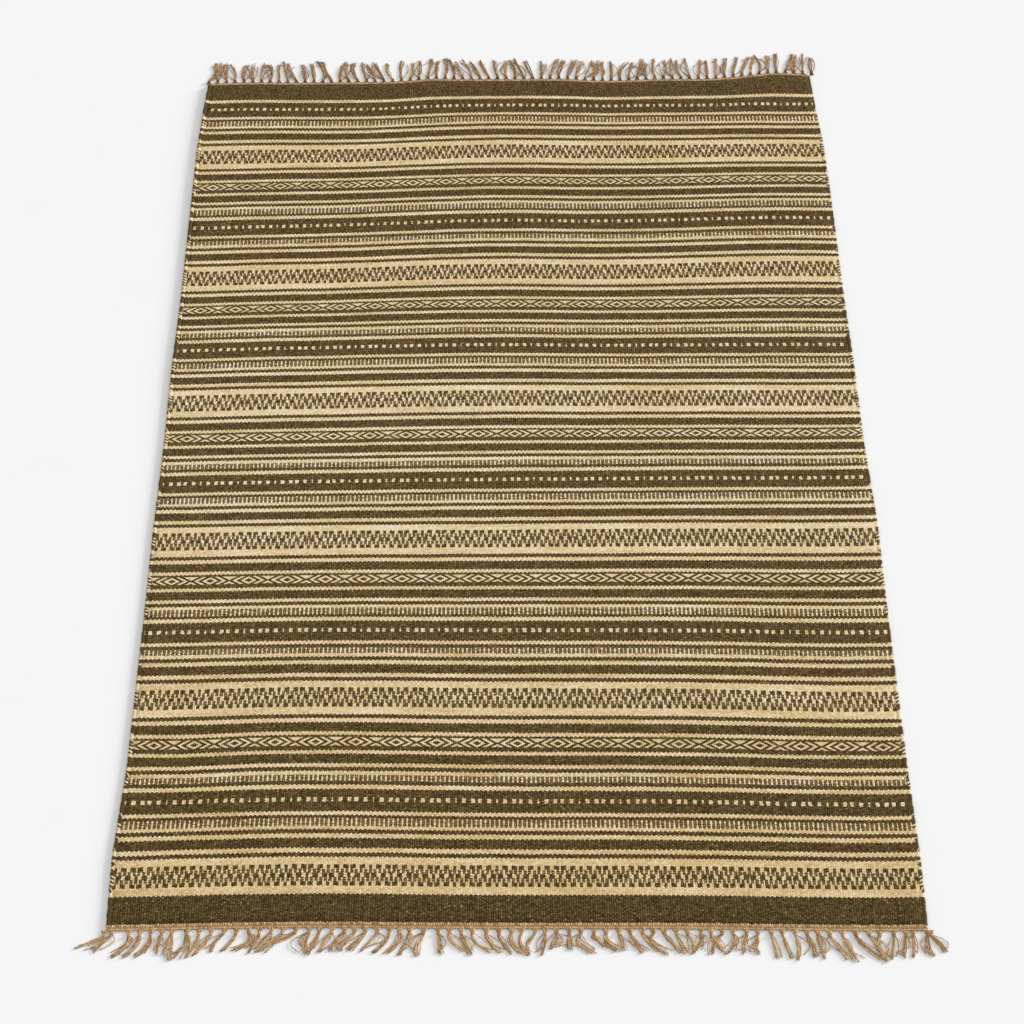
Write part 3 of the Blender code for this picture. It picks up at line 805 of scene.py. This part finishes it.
# Lean of each far tassel from left to right, evenly spaced, in mm
farLeans = np.array([
    12, 10, -6, -20, 5, -6, 10, -11, -5, -17, -28, -11, -11, -17, -31, 15, -9, -14, -12, -26, -30, -17, 0,
    6, 0, 9, 5, -2, -20, -22, -26, -28, -25, -8, 0, -16, -27, -20, 0, 22, 16, 23, 22, 20, 6, 0, 0, 23, 14,
    18, -3, 0, 3, 3, -9, -14, 10, 0, 5, 9, 16, 25, 14, -9, 3, 3, 26, 12, 6, 5,
]) / 1000
farReach, farReachSpread = 0.081, (-0.12, 0.06)
widestNearGap = 0.040


def fillGaps(tassels, widest):
    # Where two roots stand further apart than the widest gap, a tassel between them lies as they do
    gaps = np.diff(tassels[:, 0])
    between = (tassels[:-1] + tassels[1:])[gaps > widest] / 2
    both = np.concatenate([tassels, between])
    return both[np.argsort(both[:, 0])]


def makeFringe(name, end, stripWidth, fullness, tassels, material, node, seed):
    # Each tassel is a hank: its middle runs across by lean f^p + bow sin(pi f) and out by reach t, where f
    # runs from the knot to the tip. Its yarns lie side by side over a width that grows from the neck and
    # gathers or opens at the tip, in two layers, and some stray by a bow and a tip of their own.
    picker = np.random.default_rng(seed)
    count, each, steps = len(tassels), fringe["yarnsEachTassel"], fringe["steps"]
    total = count * each
    t = np.linspace(0, 1, steps)
    root, lean, reach = (np.repeat(tassels[:, k], each)[:, None] for k in range(3))
    order = np.tile(np.linspace(-1, 1, each), count)[:, None]
    mixed = order + picker.normal(0, fringe["yarnMix"], (total, 1))
    knotShare = fringe["knotOut"] / reach
    web = fringe["webHalfWidth"] * order * np.clip(1 - t / knotShare, 0, 1) ** 1.3
    free = np.clip((t - knotShare) / (1 - knotShare), 0, 1)
    power, hankBow, gather = (np.repeat(values, each)[:, None] for values in (
        picker.uniform(*fringe["hankPower"], count), picker.normal(0, fringe["hankBow"], count),
        picker.uniform(*fringe["hankGather"], count)))
    widths = np.repeat(picker.lognormal(0, fringe["hankSpread"], (count, 1)), each, axis=0)
    opening = fullness * fringe["hankHalfWidth"] * widths
    # The first and last tassels, at the corners, keep the plain width
    opening[:each] = opening[-each:] = fringe["hankHalfWidth"]
    halfWidth = fringe["neckHalfWidth"] + (opening - fringe["neckHalfWidth"]) * np.sqrt(free)
    hank = mixed * halfWidth * (1 + gather * free ** 2) * np.minimum(t / knotShare, 1)
    stray = picker.uniform(0, 1, (total, 1)) < fringe["strayShare"]
    yarnBow = picker.normal(0, 1, (total, 1)) * np.where(stray, fringe["strayBow"], fringe["yarnBow"])
    strayTip = picker.normal(0, fringe["strayTip"], (total, 1)) * stray * free ** 1.3
    ripple = picker.normal(0, fringe["yarnRipple"], (total, 1))
    ripple = ripple * np.sin(2 * pi * free * picker.uniform(1, 2.2, (total, 1)))
    x = root + lean * free ** power + web + hank + (hankBow + yarnBow) * np.sin(pi * free) + strayTip + ripple
    longer = reach * (1 + picker.uniform(*fringe["yarnLonger"], (total, 1)) - fringe["strayShorter"] * stray)
    onCloth = np.clip(root, -clothLie["halfWidth"], clothLie["halfWidth"])
    rootY = stripLine(onCloth, end) + end * (stripWidth - 0.0008)
    y = rootY + end * longer * t * np.ones((total, 1))
    layer = np.tile(np.arange(each) % 2, count)[:, None]
    lift = np.abs(picker.normal(0, 0.0006, (total, 1))) * np.sin(pi * free) ** 2
    z = fringe["yarnRadius"] * (0.8 + 0.85 * layer * (1 - 0.6 * free)) + 0.0006 * (1 - free) ** 3 + lift
    paths = np.stack([x, y, z], axis=-1)
    radii = fringe["yarnRadius"] * (1 + 0.12 * picker.normal(0, 1, (total, 1)) - 0.15 * free ** 3)
    yarns = carryTubes(paths, np.maximum(radii, 0.0005), fringe["sides"], flatten=fringe["yarnFlatness"])

    # Frayed tips: fine hairs that start inside the yarn's last step and fan out, heading + fan s
    hairs = fringe["hairsEachYarn"]
    tips = np.repeat(paths[:, -2], hairs, axis=0)[:, None]
    heading = np.repeat(paths[:, -1] - paths[:, -2], hairs, axis=0)[:, None]
    heading /= np.linalg.norm(heading, axis=2, keepdims=True)
    s = np.linspace(0, 1, 5)[None, :, None]
    length = fringe["hairLength"] * picker.uniform(0.6, 1.3, (total * hairs, 1, 1))
    fan = np.concatenate([picker.normal(0, 0.16, (total * hairs, 1, 2)),
                          np.zeros((total * hairs, 1, 1))], axis=2)
    strayPaths = tips + length * (heading * s + fan * s ** 1.5)
    strayPaths[..., 2] = np.maximum(strayPaths[..., 2] * (1 - s[..., 0]), 0) + fringe["hairRadius"]
    strayRadii = fringe["hairRadius"] * (1.25 - 0.8 * s[..., 0]) * np.ones((total * hairs, 1))
    strays = carryTubes(strayPaths, strayRadii, 3)

    # Knots: one and a half turns of yarn round the bundle, across = knot across sin a, up = height - up cos a
    turn = np.linspace(-0.4, 3 * pi + 0.4, 20)[None]
    rootX, knotY = tassels[:, :1], rootY[::each] + end * (fringe["knotOut"] - 0.0030)
    skew = picker.normal(0, 0.15, (count, 1))
    knotPaths = np.stack([
        rootX + lean[::each] * 0.03 + fringe["knotAcross"] * np.sin(turn) + 0.0008 * np.sin(turn / 2 + skew),
        knotY + end * (fringe["knotLength"] * turn / (3 * pi) + 0.0010 * np.cos(turn + skew)),
        fringe["knotHeight"] - fringe["knotUp"] * np.cos(turn) + 0 * rootX,
    ], axis=-1)
    knots = carryTubes(knotPaths, np.full(knotPaths.shape[:2], fringe["knotRadius"]), 6)
    points, faces, places = joinTubes([yarns, strays, knots])
    return makePiece(name, points, faces, {"yarn": places}, material, node)


nearWool = makeCordWool("undyedTanTwoPlyWool", strip["nearColours"], 0.12)
nearStripWool = makeCordWool("undyedTanPlaitedWool", strip["nearStripColours"], 0.0)
farWool = makeCordWool("undyedBrownTwoPlyWool", strip["farColours"], 0.42)
farStripWool = makeCordWool("undyedTanTwinedWool", strip["farStripColours"], 0.0)
farRoots = np.linspace(-0.849, 0.849, len(farLeans))
reachPicker = np.random.default_rng(5)
farReaches = farReach * (1 + reachPicker.uniform(*farReachSpread, len(farLeans)))
farTassels = np.stack([farRoots, farLeans, farReaches], axis=-1)
nearNode, farNode = "near_edging_fringe", "far_edging_fringe"
ends = [
    makeStrip("nearTwinedStrip", -1, strip["nearWidth"], nearStripWool, nearNode, 11),
    makeStrip("farTwinedStrip", 1, strip["farWidth"], farStripWool, farNode, 13),
    makeFringe("nearFringe", -1, strip["nearWidth"], 1.06, fillGaps(nearTassels, widestNearGap), nearWool,
               nearNode, 31),
    makeFringe("farFringe", 1, strip["farWidth"], 1.0, farTassels, farWool, farNode, 47),
]


print("rug: floor, light and camera")
studio = {
    "floorColours": ("#f4f4f4", "#f6f6f6"),
    "floorHalf": 20,
    "floorHeight": -0.0004,
    "worldStrength": 0.69,
    "sunStrength": 4.66,
    "sunHeight": 12.5,
    "sunHeading": 25,
    "sunSpread": 17,
    "lensMm": 57.61,
    "filmMm": 36.0,
    "cameraPlace": (-0.00996, -2.18681, 3.35735),
    "cameraHeading": -0.1481,
    "cameraDown": 59.4568,
    "cameraRoll": -0.2266,
}
floorMaterial, floorTree, floorShader = newMaterial("paleStudioPaper", 0.9, 0.0)
floorGrain = addNode(floorTree, noiseNode, named={"Scale": 300.0})
floorTint = addNode(floorTree, rampNode, floorGrain, stops=colourStops((0.0, 1.0), studio["floorColours"]))
floorTree.links.new(floorTint.outputs[0], floorShader.inputs["Base Color"])
floorMesh = bpy.data.meshes.new("studioFloor")
floorCorners = [(x * studio["floorHalf"], y * studio["floorHalf"], studio["floorHeight"])
                for x, y in ((-1, -1), (1, -1), (1, 1), (-1, 1))]
floorMesh.from_pydata(floorCorners, [], [(0, 1, 2, 3)])
floorMesh.materials.append(floorMaterial)
floor = bpy.data.objects.new("studioFloor", floorMesh)
bpy.context.scene.collection.objects.link(floor)

world = bpy.data.worlds.new("studioWorld")
world.use_nodes = True
world.node_tree.nodes["Background"].inputs["Color"].default_value = (1, 1, 1, 1)
world.node_tree.nodes["Background"].inputs["Strength"].default_value = studio["worldStrength"]
bpy.context.scene.world = world
sunLight = bpy.data.lights.new("lowSoftSun", "SUN")
sunLight.energy = studio["sunStrength"]
sunLight.angle = radians(studio["sunSpread"])
sun = bpy.data.objects.new("lowSoftSun", sunLight)
sun.matrix_world = (Matrix.Rotation(radians(studio["sunHeading"]), 4, "Z")
                    @ Matrix.Rotation(radians(90 - studio["sunHeight"]), 4, "Y"))
bpy.context.scene.collection.objects.link(sun)

cameraData = bpy.data.cameras.new("photoCamera")
cameraData.lens = studio["lensMm"]
cameraData.sensor_width = studio["filmMm"]
camera = bpy.data.objects.new("photoCamera", cameraData)
camera.matrix_world = (Matrix.Translation(studio["cameraPlace"])
                       @ Matrix.Rotation(radians(studio["cameraHeading"]), 4, "Z")
                       @ Matrix.Rotation(radians(90 - studio["cameraDown"]), 4, "X")
                       @ Matrix.Rotation(radians(studio["cameraRoll"]), 4, "Z"))
bpy.context.scene.collection.objects.link(camera)
bpy.context.scene.camera = camera
bpy.context.scene.view_settings.view_transform = "Standard"
